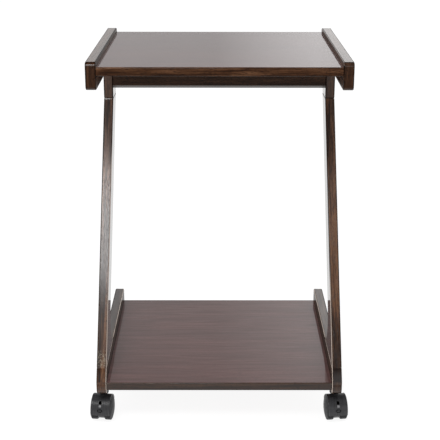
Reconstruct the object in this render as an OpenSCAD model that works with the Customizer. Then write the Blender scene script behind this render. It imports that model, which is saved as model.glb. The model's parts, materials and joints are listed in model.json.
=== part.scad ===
// Rolling side table: two Z-shaped side frames of dark stained board carry a tabletop and a low shelf,
// and four twin-wheel casters carry the frames. Millimetres, +Z up, front towards -Y.
// The origin is on the floor, under the middle of the table.

/* [Table] */
// Overall width, over the outer faces of the side frames
table_w = 470; // [420:1:560]
// Overall depth, along the rails
table_d = 430; // [400:1:520]
// Overall height, from the floor to the top of the top rails
table_h = 705; // [640:1:800]

/* [Side frames] */
// Thickness of every board of the side frames
frame_t = 19; // [18:0.5:24]
// Height of the top rails
top_rail_h = 50; // [44:1:60]
// Height of the base rails
base_rail_h = 51; // [46:1:60]
// Radius on the corners of the top rails, seen from the side
top_rail_end_r = 8; // [2:0.5:12]
// Radius on the back corners of the base rails, seen from the side
base_rail_end_r = 4; // [2:0.5:8]
// Radius of the eased long edges of the boards
ease_r = 1.5; // [1:0.5:2]

/* [Legs] */
// Distance from the front of the table to the front of the leg heads
head_setback = 306; // [270:1:320]
// Length of the upright leg head below the top rail
head_h = 76; // [66:1:100]
// Width of the leg board, square to its slope
leg_w = 52; // [48:1:60]
// Height of the upright nose at the foot of the leg
nose_h = 28; // [24:1:34]
// Radius under the nose
nose_r = 13; // [8:0.5:15]
// Radius of the hollow curve between the leg and the base rail
foot_r = 50; // [30:1:60]

/* [Panels] */
// Thickness of the tabletop and the lower shelf
panel_t = 16; // [15:0.5:19]
// How far the top rails stand above the tabletop
tabletop_drop = 8.6; // [5:0.2:14]
// How far the tabletop ends stay behind the ends of the rails
tabletop_setback = 1; // [0:0.5:4]
// How far the base rails stand above the lower shelf
shelf_drop = 25.5; // [20:0.5:28]
// How far the front of the lower shelf stays behind the nose
shelf_front_setback = 3; // [1:0.5:8]
// How far the back of the lower shelf stays inside the base rails
shelf_back_setback = 8; // [1:0.5:14]
// Radius of the eased panel edges
panel_ease_r = 2; // [1:0.5:3]

/* [Apron] */
// Height of the apron, at its back
apron_h = 83; // [76:1:96]
// Thickness of the apron
apron_t = 16; // [14:0.5:18]
// How far the apron stays behind the front of the leg heads
apron_setback = 2; // [1:0.5:5]
// Slope of the apron's underside, which faces down and forward
apron_slope = 29; // [0:1:35]
// Radius of the lower edges of the apron
apron_edge_r = 2; // [1:0.5:4]

/* [Joinery] */
// Diameter of the wooden dowels
dowel_d = 8; // [6:1:8]
// Length of the dowels between the panels and the frames
panel_dowel_l = 28; // [24:1:32]
// Length of the dowels inside the side frames
frame_dowel_l = 36; // [30:1:38]
// Length of the connector bolts
bolt_l = 50; // [45:1:60]
// Diameter of the connector bolts
bolt_d = 6; // [5:0.5:6]
// Diameter of the bolt heads
bolt_head_d = 12; // [11:0.5:13]
// Diameter of the barrel nuts
nut_d = 10; // [9:0.5:11]
// Length of the barrel nuts
nut_l = 12; // [10:0.5:13]
// Clearance round every dowel, bolt and nut
joint_clear = 0.1; // [0.05:0.01:0.2]

/* [Casters] */
// Height from the floor to the underside of the base rails
caster_h = 63; // [60:1:72]
// Distance from the end of the base rail to the swivel axis
caster_inset = 46; // [44:1:60]
// Turn of each caster at rest, outwards
caster_yaw = 7; // [0:1:15]
// Distance from the swivel axis to the wheel axle
caster_trail = 17; // [15:0.5:18]
// Wheel diameter
wheel_d = 48; // [44:1:50]
// Width over both wheels
wheels_w = 45; // [40:1:50]
// Gap between the two wheels
wheel_gap = 14; // [13.5:0.5:17]
// Radius of the domed wheel face
wheel_dome_r = 75; // [45:1:110]
// Radius on the inner edge of the wheel's tread
wheel_shoulder_r = 2; // [0.5:0.5:2]
// Wall of the wheel rim
wheel_rim_t = 3.5; // [2.5:0.5:5]
// Number of ribs inside each wheel
wheel_ribs = 6; // [3:1:10]
// Diameter of the wheel axle
axle_d = 6; // [5:0.5:6.5]
// Radial clearance of the turning fits
run_clear = 0.08; // [0.05:0.01:0.1]

/* [Caster hoods] */
// Width of the hood
hood_w = 37; // [30:0.5:38]
// Wall of the hood
hood_wall = 1.8; // [1.4:0.1:2.4]
// Gap between the hood and the wheels
hood_gap = 0.6; // [0.4:0.1:1]
// Angle of the hood's front lip below the axle
hood_front_angle = 14; // [0:1:20]
// Angle of the hood's rear lip above the axle
hood_rear_angle = 20; // [10:1:40]
// Gap between the floor and the web between the wheels
web_floor_gap = 3; // [2:0.5:6]
// Diameter of the collar on top of the hood
collar_d = 18; // [16:0.5:20]
// Width of the slot in the hood
slot_w = 5; // [4:0.5:7]
// Height of the slot in the hood
slot_h = 6.5; // [4:0.5:7]
// Width of the oval button on the hood
button_w = 11.5; // [9:0.5:13]
// Height of the oval button on the hood
button_h = 7.5; // [6:0.5:8]

/* [Stems] */
// Diameter of the stem
stem_d = 8; // [7:0.5:8]
// Outer diameter of the socket in the base rail
socket_d = 11; // [10.5:0.5:12]
// Depth of the socket in the base rail
socket_l = 30; // [24:1:31]
// Diameter of the flange under the socket
flange_d = 17; // [15:0.5:18]
// Thickness of the flange and of the stem's shoulder
flange_t = 1.5; // [1:0.1:2]

/* [Hidden] */

$fn = 48;

// Levels, from the floor
base_z = caster_h;
base_top_z = base_z + base_rail_h;
top_rail_z = table_h - top_rail_h;
head_z = top_rail_z - head_h;
nose_z = base_z + nose_h;
tabletop_z = table_h - tabletop_drop - panel_t;
shelf_z = base_top_z - shelf_drop - panel_t;
apron_z = tabletop_z - apron_h;

// Places across the table and along it
frame_x = table_w / 2 - frame_t / 2;
inner_x = table_w / 2 - frame_t;
front_y = -table_d / 2;
back_y = table_d / 2;
head_y = front_y + head_setback;
apron_y = head_y + apron_setback;

// The slope of the leg runs from the front of its head to the top of the nose
leg_angle = atan(head_setback / (head_z - nose_z));
head_depth = leg_w / cos(leg_angle);
foot_y = front_y + (base_top_z - nose_z) * tan(leg_angle);
foot_back_y = foot_y + head_depth;
foot_tangent = foot_r / tan((90 - leg_angle) / 2);

// How far a cut runs past the face it opens, and a joined shape into its neighbour
over = 1;

// Panel dowels and bolts, measured from both ends of the table: the end dowels clear the caster sockets
end_dowel_inset = caster_inset + 19;
mid_dowel_inset = 165;
bolt_inset = 115;
panel_dowel_ys = [front_y + end_dowel_inset, front_y + mid_dowel_inset,
    back_y - mid_dowel_inset, back_y - end_dowel_inset];
panel_bolt_ys = [front_y + bolt_inset, back_y - bolt_inset];
apron_dowel_dz = 24;
dowel_in_frame = 11;
bolt_angle_l = (bolt_head_d - bolt_d) / 2;
hex_w = 4.6;
hex_depth = 2.4;

// Barrel nuts: how far past their axis a bolt runs, and how deep their ends lie in the board
nut_reach = 7;
nut_inset = 0.5;

// Upright dowels: behind the apron's bolt, in what the head and leg share, and where the flare is full
dowel_edge = 11;
dowel_pitch = 20;
foot_dowel_pitch = 24;
head_dowel_ys = [for (i = [1, 0]) head_y + head_depth - dowel_edge - i * dowel_pitch];
leg_dowel_y = head_y + (head_depth - frame_dowel_l / 2 * tan(leg_angle)) / 2;
leg_dowel_ys = [leg_dowel_y - dowel_pitch / 2, leg_dowel_y + dowel_pitch / 2];
foot_dowel_end = foot_back_y + foot_tangent - foot_r - dowel_edge;
foot_dowel_ys = [for (i = [2, 1, 0]) foot_dowel_end - i * foot_dowel_pitch];
flare_lip = 6;

// Caster wheels and axle
wheel_r = wheel_d / 2;
axle_z = wheel_r;
wheel_in = wheel_gap / 2;
wheel_out = wheels_w / 2;
wheel_face_t = 4;
wheel_bore_end = wheel_out - wheel_face_t;
end_gap = 0.5;
axle_half = wheel_bore_end - end_gap;
axle_fit = 0.02;
hub_wall = 3.5;
hub_r = axle_d / 2 + hub_wall;
recess_depth = 7;
rib_t = 1.6;
rib_setback = 1;

// Caster hood, with a web between the wheels that holds the axle and the stem
pocket_r = wheel_r + hood_gap;
hood_r = pocket_r + hood_wall;
side_gap = 0.5;
web_half = wheel_in - side_gap;
web_r = wheel_r - web_floor_gap;
web_edge = 1.2;
collar_l = 12;
boss_floor = 3;

// Stem and socket
shoulder_z = caster_h - 2 * flange_t;
swivel_gap = 0.4;
collar_top = shoulder_z - swivel_gap;
stem_reach = 4;
stem_bottom = axle_z - stem_reach;
shoulder_d = flange_d - 2;
socket_end_t = 2;
socket_bore_top = caster_h + socket_l - socket_end_t;
stem_top_gap = 1;

// Angles and depths of the details on the wheel side of the hood
slot_angle = 44;
slot_depth = 9;
tab_angle = 29;
tab_h = 4.4;
tab_w = slot_w - 0.5;
tab_proud = 0.5;
button_angle = 10;
button_proud = 0.7;
button_rim_w = 0.8;
groove_w = 1.4;
groove_depth = 1.2;

// A rectangle centred on the origin with round corners
module round_rect(w, h, r) {
    square([w - 2 * r, h], center = true);
    square([w, h - 2 * r], center = true);
    for (x = [-1, 1], y = [-1, 1])
        translate([x * (w / 2 - r), y * (h / 2 - r)]) circle(r);
}

// Stands a side view, drawn as depth and height, upright with its thickness across the table
module side_view(t) {
    rotate([90, 0, 90]) linear_extrude(t, center = true) children();
}

// A cross-section, drawn as width and height, run along the table's depth
module along_y(y0, y1) {
    translate([0, y1, 0]) rotate([90, 0, 0]) linear_extrude(y1 - y0) children();
}

// A pin with straight sides and round ends, standing on the origin
module oval_pin(w, h, l) {
    for (s = [-1, 1]) translate([s * (w - h) / 2, 0, 0]) cylinder(d = h, h = l);
    translate([-(w - h) / 2, -h / 2, 0]) cube([w - h, h, l]);
}

// A dowel or its hole, along X or along Z
module dowel(l, clear, upright = false) {
    rotate([0, upright ? 0 : 90, 0])
        cylinder(d = dowel_d + 2 * clear, h = l + 2 * clear, center = true);
}

// One side's dowels between the panels, the apron and the side frame, right side
module side_panel_dowels(clear) {
    x = inner_x + dowel_in_frame - panel_dowel_l / 2;
    for (y = panel_dowel_ys, z = [tabletop_z, shelf_z])
        translate([x, y, z + panel_t / 2]) dowel(panel_dowel_l, clear);
    for (dz = [-apron_dowel_dz, apron_dowel_dz])
        translate([x, apron_y + apron_t / 2, apron_z + apron_h / 2 + dz]) dowel(panel_dowel_l, clear);
}

// One side's upright dowels inside the side frame, right side
module side_frame_dowels(clear) {
    for (y = head_dowel_ys) translate([frame_x, y, top_rail_z]) dowel(frame_dowel_l, clear, true);
    for (y = leg_dowel_ys) translate([frame_x, y, head_z]) dowel(frame_dowel_l, clear, true);
    for (y = foot_dowel_ys) translate([frame_x, y, base_top_z]) dowel(frame_dowel_l, clear, true);
}

// A connector bolt with a countersunk head, its head face at x = 0 and its shank towards -X
module bolt_body(clear) {
    translate([-bolt_l - clear, 0, 0]) rotate([0, 90, 0]) cylinder(d = bolt_d + 2 * clear, h = bolt_l);
    translate([-bolt_angle_l - clear, 0, 0]) rotate([0, 90, 0])
        cylinder(d1 = bolt_d + 2 * clear, d2 = bolt_head_d + 2 * clear, h = bolt_angle_l + clear);
}

// A hex socket in the head face of a bolt
module hex_recess() {
    translate([-hex_depth, 0, 0]) rotate([0, 90, 0]) cylinder(d = hex_w, h = hex_depth + over, $fn = 6);
}

// Puts its children at one side's bolts, right side
module at_bolts() {
    for (y = panel_bolt_ys, z = [tabletop_z, shelf_z])
        translate([table_w / 2, y, z + panel_t / 2]) children();
    translate([table_w / 2, apron_y + apron_t / 2, apron_z + apron_h / 2]) children();
}

// Puts its children at one side's barrel nuts, right side, with Z into the board from the face they
// enter by: the underside of the panels and the back of the apron
module at_nuts() {
    x = table_w / 2 - bolt_l + nut_reach;
    for (y = panel_bolt_ys, z = [tabletop_z, shelf_z]) translate([x, y, z]) children();
    translate([x, apron_y + apron_t, apron_z + apron_h / 2]) rotate([90, 0, 0]) children();
}

module nut_body() {
    translate([0, 0, nut_inset]) cylinder(d = nut_d, h = nut_l);
}

module nut_hole() {
    translate([0, 0, -over])
        cylinder(d = nut_d + 2 * joint_clear, h = over + nut_inset + nut_l + joint_clear);
}

// Every hole that one side's fasteners need in the boards of the frame
module side_holes() {
    side_panel_dowels(joint_clear);
    side_frame_dowels(joint_clear);
    at_bolts() bolt_body(joint_clear);
}

// Every hole that both sides' fasteners need in a panel or in the apron
module panel_holes() {
    both_sides() {
        side_panel_dowels(joint_clear);
        at_bolts() bolt_body(joint_clear);
        at_nuts() nut_hole();
    }
}

// A copy on each side of the table
module both_sides() {
    children();
    mirror([1, 0, 0]) children();
}

// The panels and the apron
module panel(y0, y1, z) {
    difference() {
        rotate([90, 0, 90]) linear_extrude(2 * inner_x, center = true)
            translate([(y0 + y1) / 2, z + panel_t / 2]) round_rect(y1 - y0, panel_t, panel_ease_r);
        panel_holes();
    }
}

module tabletop() {
    color("#5b4a42") panel(front_y + tabletop_setback, back_y - tabletop_setback, tabletop_z);
}

module lower_shelf() {
    color("#54433b") panel(front_y + shelf_front_setback, back_y - shelf_back_setback, shelf_z);
}

// Side view of the apron: square at the top, its underside rising to the front, both lower edges round
module apron_view() {
    r = apron_edge_r;
    half = apron_t / 2;
    down = [-sin(apron_slope), -cos(apron_slope)];
    back = [half - r, r];
    front = [r - half, r + (apron_t - 2 * r) * tan(apron_slope)];
    polygon([[-half, apron_h], [-half, front[1]], front + r * down, back + r * down,
        [half, back[1]], [half, apron_h]]);
    for (c = [back, front]) translate(c) circle(r);
}

module rear_apron() {
    color("#3a2a24") difference() {
        rotate([90, 0, 90]) linear_extrude(2 * inner_x, center = true)
            translate([apron_y + apron_t / 2, apron_z]) apron_view();
        panel_holes();
    }
}

// The boards of the right side frame
module top_rail_board() {
    difference() {
        translate([frame_x, 0, top_rail_z + top_rail_h / 2]) intersection() {
            side_view(frame_t) round_rect(table_d, top_rail_h, top_rail_end_r);
            along_y(front_y - over, back_y + over) round_rect(frame_t, top_rail_h, ease_r);
        }
        side_holes();
    }
}

module leg_head_board() {
    difference() {
        translate([frame_x, head_y + head_depth / 2, head_z]) linear_extrude(head_h)
            round_rect(frame_t, head_depth, ease_r);
        side_holes();
    }
}

// Side view of the hollow curve that widens the foot of the leg over the base rail
module foot_flare() {
    c = [foot_back_y + foot_tangent, base_top_z + foot_r];
    top = [c[0] - foot_r * cos(leg_angle), c[1] + foot_r * sin(leg_angle)];
    into_leg = leg_w / 4;
    difference() {
        polygon([[foot_back_y - into_leg, base_top_z], [c[0] - flare_lip, base_top_z],
            top, [top[0] - into_leg, top[1]]]);
        translate(c) circle(foot_r, $fn = 96);
    }
}

module leg_board() {
    run = head_z - base_top_z;
    difference() {
        translate([frame_x, 0, 0]) union() {
            intersection() {
                translate([0, foot_y + head_depth / 2, base_top_z]) rotate([-leg_angle, 0, 0])
                    translate([0, 0, -leg_w]) linear_extrude(run / cos(leg_angle) + 2 * leg_w)
                        round_rect(frame_t, leg_w, ease_r);
                translate([-frame_t, front_y, base_top_z]) cube([2 * frame_t, table_d, run]);
            }
            side_view(frame_t) foot_flare();
        }
        side_holes();
    }
}

// Side view of the base rail: upright nose, round below, sloping back above as the leg does
module base_rail_view() {
    r = base_rail_end_r;
    past = over * tan(leg_angle);
    difference() {
        union() {
            translate([front_y + nose_r, base_z]) square([table_d - nose_r - r, base_rail_h]);
            translate([front_y, base_z + nose_r]) square([nose_r + over, base_rail_h - nose_r]);
            translate([front_y + nose_r, base_z + nose_r]) circle(nose_r);
            translate([back_y - r - over, base_z + r]) square([r + over, base_rail_h - 2 * r]);
            for (z = [base_z + r, base_top_z - r]) translate([back_y - r, z]) circle(r);
        }
        polygon([[front_y - past, nose_z - over], [foot_y + past, base_top_z + over],
            [front_y - past, base_top_z + over]]);
    }
}

module base_rail_board() {
    difference() {
        translate([frame_x, 0, 0]) intersection() {
            side_view(frame_t) base_rail_view();
            along_y(front_y - over, back_y + over)
                translate([0, base_z + base_rail_h / 2]) round_rect(frame_t, base_rail_h, ease_r);
        }
        side_holes();
        for (y = [front_y + caster_inset, back_y - caster_inset])
            translate([frame_x, y, base_z - over])
                cylinder(d = socket_d + 2 * joint_clear, h = over + socket_l + joint_clear);
    }
}

module top_rail() { color("#4a342b") top_rail_board(); }
module leg_head() { color("#5a463d") leg_head_board(); }
module leg() { color("#5a3a26") leg_board(); }
module base_rail() { color("#4a342b") base_rail_board(); }

// The fasteners
module panel_dowels() { color("#c8a878") both_sides() side_panel_dowels(0); }
module frame_dowels() { color("#c8a878") both_sides() side_frame_dowels(0); }

module connector_bolts() {
    color("#8d8d90") both_sides() difference() {
        at_bolts() bolt_body(0);
        at_bolts() hex_recess();
    }
}

module barrel_nuts() {
    color("#8d8d90") both_sides() difference() {
        at_nuts() nut_body();
        at_bolts() bolt_body(joint_clear);
    }
}

// Left front caster, in its own frame: swivel axis on Z, the wheels towards -Y, outer wheel towards -X
module on_axle() {
    translate([0, -caster_trail, axle_z]) children();
}

// Turns a part drawn on +Y to the given angle on the hood, measured up from the wheel side
module at_hood_angle(a) {
    on_axle() rotate([180 - a, 0, 0]) children();
}

module socket() {
    color("#2c2c2e") difference() {
        union() {
            translate([0, 0, caster_h]) cylinder(d = socket_d, h = socket_l);
            translate([0, 0, caster_h - flange_t]) cylinder(d = flange_d, h = flange_t);
        }
        translate([0, 0, shoulder_z])
            cylinder(d = stem_d + 2 * joint_clear, h = socket_bore_top - shoulder_z);
    }
}

module stem() {
    color("#a9abad") {
        translate([0, 0, stem_bottom]) cylinder(d = stem_d, h = socket_bore_top - stem_top_gap - stem_bottom);
        translate([0, 0, shoulder_z]) cylinder(d = shoulder_d, h = flange_t);
    }
}

// A full-width slice of the hood between its front and rear lips
module hood_sector() {
    sweep = 180 - hood_rear_angle + hood_front_angle;
    c = hood_wall / 2;
    on_axle() rotate([0, 90, 0]) rotate([0, 0, hood_rear_angle + 90]) rotate_extrude(angle = sweep)
        polygon([[0, -hood_w / 2], [hood_r - c, -hood_w / 2], [hood_r, -hood_w / 2 + c],
            [hood_r, hood_w / 2 - c], [hood_r - c, hood_w / 2], [0, hood_w / 2]]);
}

// The web between the wheels, a disc round the axle with chamfered edges
module hood_web() {
    on_axle() rotate([0, 90, 0]) rotate_extrude()
        polygon([[0, -web_half], [web_r - web_edge, -web_half], [web_r, -web_half + web_edge],
            [web_r, web_half - web_edge], [web_r - web_edge, web_half], [0, web_half]]);
}

module hood() {
    color("#1f1f21") difference() {
        union() {
            hood_sector();
            hood_web();
            translate([0, 0, stem_bottom - boss_floor])
                cylinder(r = web_half, h = collar_top - stem_bottom + boss_floor);
            translate([0, 0, collar_top - collar_l]) cylinder(d = collar_d, h = collar_l);
            at_hood_angle(button_angle) translate([0, hood_r - over, 0]) rotate([-90, 0, 0])
                oval_pin(button_w, button_h, over + button_proud);
            at_hood_angle(tab_angle) translate([-tab_w / 2, hood_r - over, -tab_h / 2])
                cube([tab_w, over + tab_proud, tab_h]);
        }
        // The wheels run in two pockets, one on each side of the web
        for (s = [-1, 1]) on_axle() rotate([0, 90, 0])
            translate([0, 0, s > 0 ? web_half : -web_half - hood_w]) cylinder(r = pocket_r, h = hood_w);
        translate([0, 0, stem_bottom - end_gap]) cylinder(d = stem_d + 2 * run_clear, h = caster_h);
        on_axle() rotate([0, 90, 0]) cylinder(d = axle_d + 2 * axle_fit, h = hood_w, center = true);
        at_hood_angle(slot_angle) translate([-slot_w / 2, hood_r - slot_depth, -slot_h / 2])
            cube([slot_w, 2 * slot_depth, slot_h]);
        // A groove makes the centre of the button a separate oval face
        at_hood_angle(button_angle) translate([0, hood_r + button_proud - groove_depth, 0])
            rotate([-90, 0, 0]) difference() {
                button_part(button_rim_w);
                button_part(button_rim_w + groove_w);
            }
    }
}

// An oval as much smaller than the button as the inset says, all round
module button_part(inset) {
    oval_pin(button_w - 2 * inset, button_h - 2 * inset, 2 * groove_depth);
}

module axle() {
    color("#b4b6b8") on_axle() rotate([0, 90, 0]) cylinder(d = axle_d, h = 2 * axle_half, center = true);
}

// Half the section of a wheel's tread, with its inner edge round
module tread_section() {
    r = wheel_shoulder_r;
    square([wheel_r - r, wheel_out]);
    translate([0, r]) square([wheel_r, wheel_out]);
    translate([wheel_r - r, r]) circle(r);
}

// A wheel on the +X side: domed outside, and open inside round its hub, with ribs to the rim
module wheel() {
    recess_r = wheel_r - wheel_rim_t;
    on_axle() rotate([0, 90, 0]) difference() {
        intersection() {
            translate([0, 0, wheel_in]) rotate_extrude() tread_section();
            translate([0, 0, wheel_out - wheel_dome_r]) sphere(wheel_dome_r, $fn = 96);
        }
        translate([0, 0, wheel_in - over]) difference() {
            cylinder(r = recess_r, h = over + recess_depth);
            cylinder(r = hub_r, h = over + recess_depth);
            for (i = [1:wheel_ribs]) rotate([0, 0, i * 360 / wheel_ribs])
                translate([hub_r - over, -rib_t / 2, over + rib_setback])
                    cube([recess_r - hub_r + 2 * over, rib_t, recess_depth]);
        }
        translate([0, 0, wheel_in - over])
            cylinder(d = axle_d + 2 * run_clear, h = over + wheel_bore_end - wheel_in);
    }
}

module outer_wheel() { color("#1a1a1c") mirror([1, 0, 0]) wheel(); }
module inner_wheel() { color("#1a1a1c") wheel(); }

// Puts a caster part under its corner: side -1 is left, end -1 is front
module at_corner(side, end) {
    y = end < 0 ? front_y + caster_inset : back_y - caster_inset;
    mirror([side > 0 ? 1 : 0, 0, 0]) translate([-frame_x, y, 0]) rotate([0, 0, -caster_yaw]) children();
}

tabletop();
lower_shelf();
rear_apron();
mirror([1, 0, 0]) top_rail();  // left_top_rail
top_rail();  // right_top_rail
mirror([1, 0, 0]) leg_head();  // left_leg_head
leg_head();  // right_leg_head
mirror([1, 0, 0]) leg();  // left_leg
leg();  // right_leg
mirror([1, 0, 0]) base_rail();  // left_base_rail
base_rail();  // right_base_rail
panel_dowels();
frame_dowels();
connector_bolts();
barrel_nuts();
at_corner(-1, -1) socket();  // front_left_socket
at_corner(1, -1) socket();  // front_right_socket
at_corner(-1, 1) socket();  // rear_left_socket
at_corner(1, 1) socket();  // rear_right_socket
at_corner(-1, -1) stem();  // front_left_stem
at_corner(1, -1) stem();  // front_right_stem
at_corner(-1, 1) stem();  // rear_left_stem
at_corner(1, 1) stem();  // rear_right_stem
at_corner(-1, -1) hood();  // front_left_hood
at_corner(1, -1) hood();  // front_right_hood
at_corner(-1, 1) hood();  // rear_left_hood
at_corner(1, 1) hood();  // rear_right_hood
at_corner(-1, -1) axle();  // front_left_axle
at_corner(1, -1) axle();  // front_right_axle
at_corner(-1, 1) axle();  // rear_left_axle
at_corner(1, 1) axle();  // rear_right_axle
at_corner(-1, -1) outer_wheel();  // front_left_outer_wheel
at_corner(1, -1) outer_wheel();  // front_right_outer_wheel
at_corner(-1, 1) outer_wheel();  // rear_left_outer_wheel
at_corner(1, 1) outer_wheel();  // rear_right_outer_wheel
at_corner(-1, -1) inner_wheel();  // front_left_inner_wheel
at_corner(1, -1) inner_wheel();  // front_right_inner_wheel
at_corner(-1, 1) inner_wheel();  // rear_left_inner_wheel
at_corner(1, 1) inner_wheel();  // rear_right_inner_wheel
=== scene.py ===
"""Rolling side table: dark stained boards on two Z-shaped side frames, with four twin-wheel casters.

Metres, +Z up, front towards -Y. Boards, hoods and wheels are rebuilt here with eased edges and finishes,
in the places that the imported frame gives; the fasteners, stems, sockets and axles keep their own shapes.
"""

import json
import math

import bmesh
import bpy
from bpy.props import FloatProperty, FloatVectorProperty, IntProperty, PointerProperty
from mathutils import Matrix, Vector


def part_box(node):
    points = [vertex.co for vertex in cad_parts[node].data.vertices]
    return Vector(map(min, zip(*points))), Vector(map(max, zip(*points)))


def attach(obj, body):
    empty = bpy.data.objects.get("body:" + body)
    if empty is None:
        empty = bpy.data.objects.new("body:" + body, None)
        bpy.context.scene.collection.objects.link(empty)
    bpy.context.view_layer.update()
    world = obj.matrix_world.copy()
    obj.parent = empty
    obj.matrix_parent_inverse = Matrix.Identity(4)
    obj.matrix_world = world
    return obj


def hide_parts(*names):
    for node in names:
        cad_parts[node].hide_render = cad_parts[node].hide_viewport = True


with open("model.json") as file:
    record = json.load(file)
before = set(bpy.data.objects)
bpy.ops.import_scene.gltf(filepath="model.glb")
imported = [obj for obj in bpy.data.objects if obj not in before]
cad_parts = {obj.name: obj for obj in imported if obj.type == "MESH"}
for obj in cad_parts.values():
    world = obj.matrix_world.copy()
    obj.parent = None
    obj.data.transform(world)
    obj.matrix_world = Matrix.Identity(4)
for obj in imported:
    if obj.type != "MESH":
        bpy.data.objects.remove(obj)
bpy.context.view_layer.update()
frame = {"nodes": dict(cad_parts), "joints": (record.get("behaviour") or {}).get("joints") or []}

bl_info = {
    "name": "Rolling Side Table",
    "version": (1, 0, 0),
    "blender": (4, 5, 0),
    "location": "3D View > Sidebar > Side Table",
    "description": "Builds a rolling side table of dark stained boards on twin-wheel casters",
    "category": "Add Mesh",
}

SIDES = ("left", "right")
CORNERS = ("front_left", "front_right", "rear_left", "rear_right")

# Places of the boards, from the frame
TABLE_LOW, TABLE_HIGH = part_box("tabletop")
SHELF_LOW, SHELF_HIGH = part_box("lower_shelf")
APRON_LOW, APRON_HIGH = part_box("rear_apron")
RAIL_LOW, RAIL_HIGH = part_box("right_top_rail")
HEAD_LOW, HEAD_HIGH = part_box("right_leg_head")
LEG_LOW, LEG_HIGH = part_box("right_leg")
BASE_LOW, BASE_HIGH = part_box("right_base_rail")
JOINT_PLACES = {joint["name"]: Vector(joint["pos_m"]) for joint in frame["joints"]}
COLLAR_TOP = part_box("front_left_hood")[1].z
WHEEL_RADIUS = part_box("front_left_outer_wheel")[1].z / 2

# The leg slopes from the front of its head to the top of the base rail's nose
LEG_ANGLE = math.atan((HEAD_LOW.y - LEG_LOW.y) / (LEG_HIGH.z - LEG_LOW.z))
LEG_DEPTH = HEAD_HIGH.y - HEAD_LOW.y
NOSE_TOP = BASE_HIGH.z - (LEG_LOW.y - BASE_LOW.y) / math.tan(LEG_ANGLE)
ALONG_X = Vector((1, 0, 0))
ALONG_Y = Vector((0, 1, 0))
ALONG_Z = Vector((0, 0, 1))
ALONG_LEG = Vector((0, math.sin(LEG_ANGLE), math.cos(LEG_ANGLE)))
LEG_FRONT = Vector((0, -math.cos(LEG_ANGLE), math.sin(LEG_ANGLE)))

# How far a face's normal has to point along a direction for the face to count as turned that way
TURNED_SIDE = 0.9
TURNED_END = 0.5
TURNED_UP = 0.99
TURNED_SLOPE = 0.999
LEANS_OUT = 0.2
LEANS_UP = 0.3

# Noise under the first number leaves a mask at 0, and noise over the second brings it to 1
PORE_MASK = (0.36, 0.42)
FLECK_MASK = (0.54, 0.6)
# Streaks along the inner edges that carry a painted highlight
HIGHLIGHT_MASK = (0.25, 0.45)
SHEEN_MASK = (0.3, 0.7)

# Half the range of noise that the three tones spread over, and how far the roughness goes either way
TONE_SPREAD = 0.16
SHEEN_SPREAD = 0.08

# A wood's shift along, across and up, how far its grain wanders, in metres, and the waves in a metre
SHIFT_SHARES = (1.0, 0.37, 0.21)
WANDER = 0.012
WAVES = 5.0
GRAIN_DEPTH = 0.0002

# The moulded plastic: grains and scuffs in a metre, and the size of its lines, in metres
MATT_GRAINS = 1800.0
SCUFFS = 90.0
LINE_WIDTH = 0.0011
LINE_LENGTH = 0.03

# Faces of the mouldings that meet at less than this are shaded as one
MOULDED_LIMIT = math.radians(32)

# The web's disc is this much of its full width, so that it shares no plane with the shell's own web
WEB_SHARE = 0.99

# Segments in each end of an oval, and how near two places, in metres, count as the same
OVAL_STEPS = 20
TINY = 1e-6
NEAR = 1e-5


class BoardSizes(bpy.types.PropertyGroup):
    """Radii and eased edges of the boards."""

    edge_ease: FloatProperty(
        name="Edge Ease", description="Radius along the long edges of the frame boards",
        default=0.002, min=0.0002, max=0.004, unit="LENGTH")
    seam_ease: FloatProperty(
        name="Seam Ease", description="Radius on the edges where two boards meet flush",
        default=0.0004, min=0.0001, max=0.002, unit="LENGTH")
    head_ease: FloatProperty(
        name="Head Ease", description="Radius on the lower edges of the leg heads, which show as a seam",
        default=0.0016, min=0.0002, max=0.002, unit="LENGTH")
    top_rail_radius: FloatProperty(
        name="Top Rail Radius", description="Radius on the corners of the top rails, seen from the side",
        default=0.008, min=0.001, max=0.012, unit="LENGTH")
    base_rail_radius: FloatProperty(
        name="Base Rail Radius", description="Radius on the back corners of the base rails",
        default=0.004, min=0.001, max=0.01, unit="LENGTH")
    panel_radius: FloatProperty(
        name="Panel Radius", description="Radius along the front and back edges of the panels",
        default=0.002, min=0.0005, max=0.006, unit="LENGTH")
    apron_radius: FloatProperty(
        name="Apron Radius", description="Radius along the lower edges of the apron",
        default=0.002, min=0.001, max=0.007, unit="LENGTH")
    apron_slope: FloatProperty(
        name="Apron Slope", description="Slope of the apron's underside, which rises to the front",
        default=math.radians(29), subtype="ANGLE")
    nose_radius: FloatProperty(
        name="Nose Radius", description="Radius under the nose of the base rails",
        default=0.013, min=0.004, max=0.02, unit="LENGTH")
    foot_radius: FloatProperty(
        name="Foot Radius", description="Radius of the hollow curve behind the foot of the legs",
        default=0.05, min=0.02, max=0.08, unit="LENGTH")
    foot_lip: FloatProperty(
        name="Foot Lip", description="How far the hollow curve stops before it would run out to a knife edge",
        default=0.006, min=0.002, max=0.01, unit="LENGTH")
    crease_radius: FloatProperty(
        name="Crease Radius", description="Hollow radius where the leg's front turns up into its head",
        default=0.025, min=0.005, max=0.05, unit="LENGTH")
    crease_turn: FloatProperty(
        name="Crease Turn", description="How far the leg's front turns towards upright under its head",
        default=math.radians(10), subtype="ANGLE")
    arc_steps: IntProperty(
        name="Arc Steps", description="Segments in a quarter turn", default=8, min=3, max=24)


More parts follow.
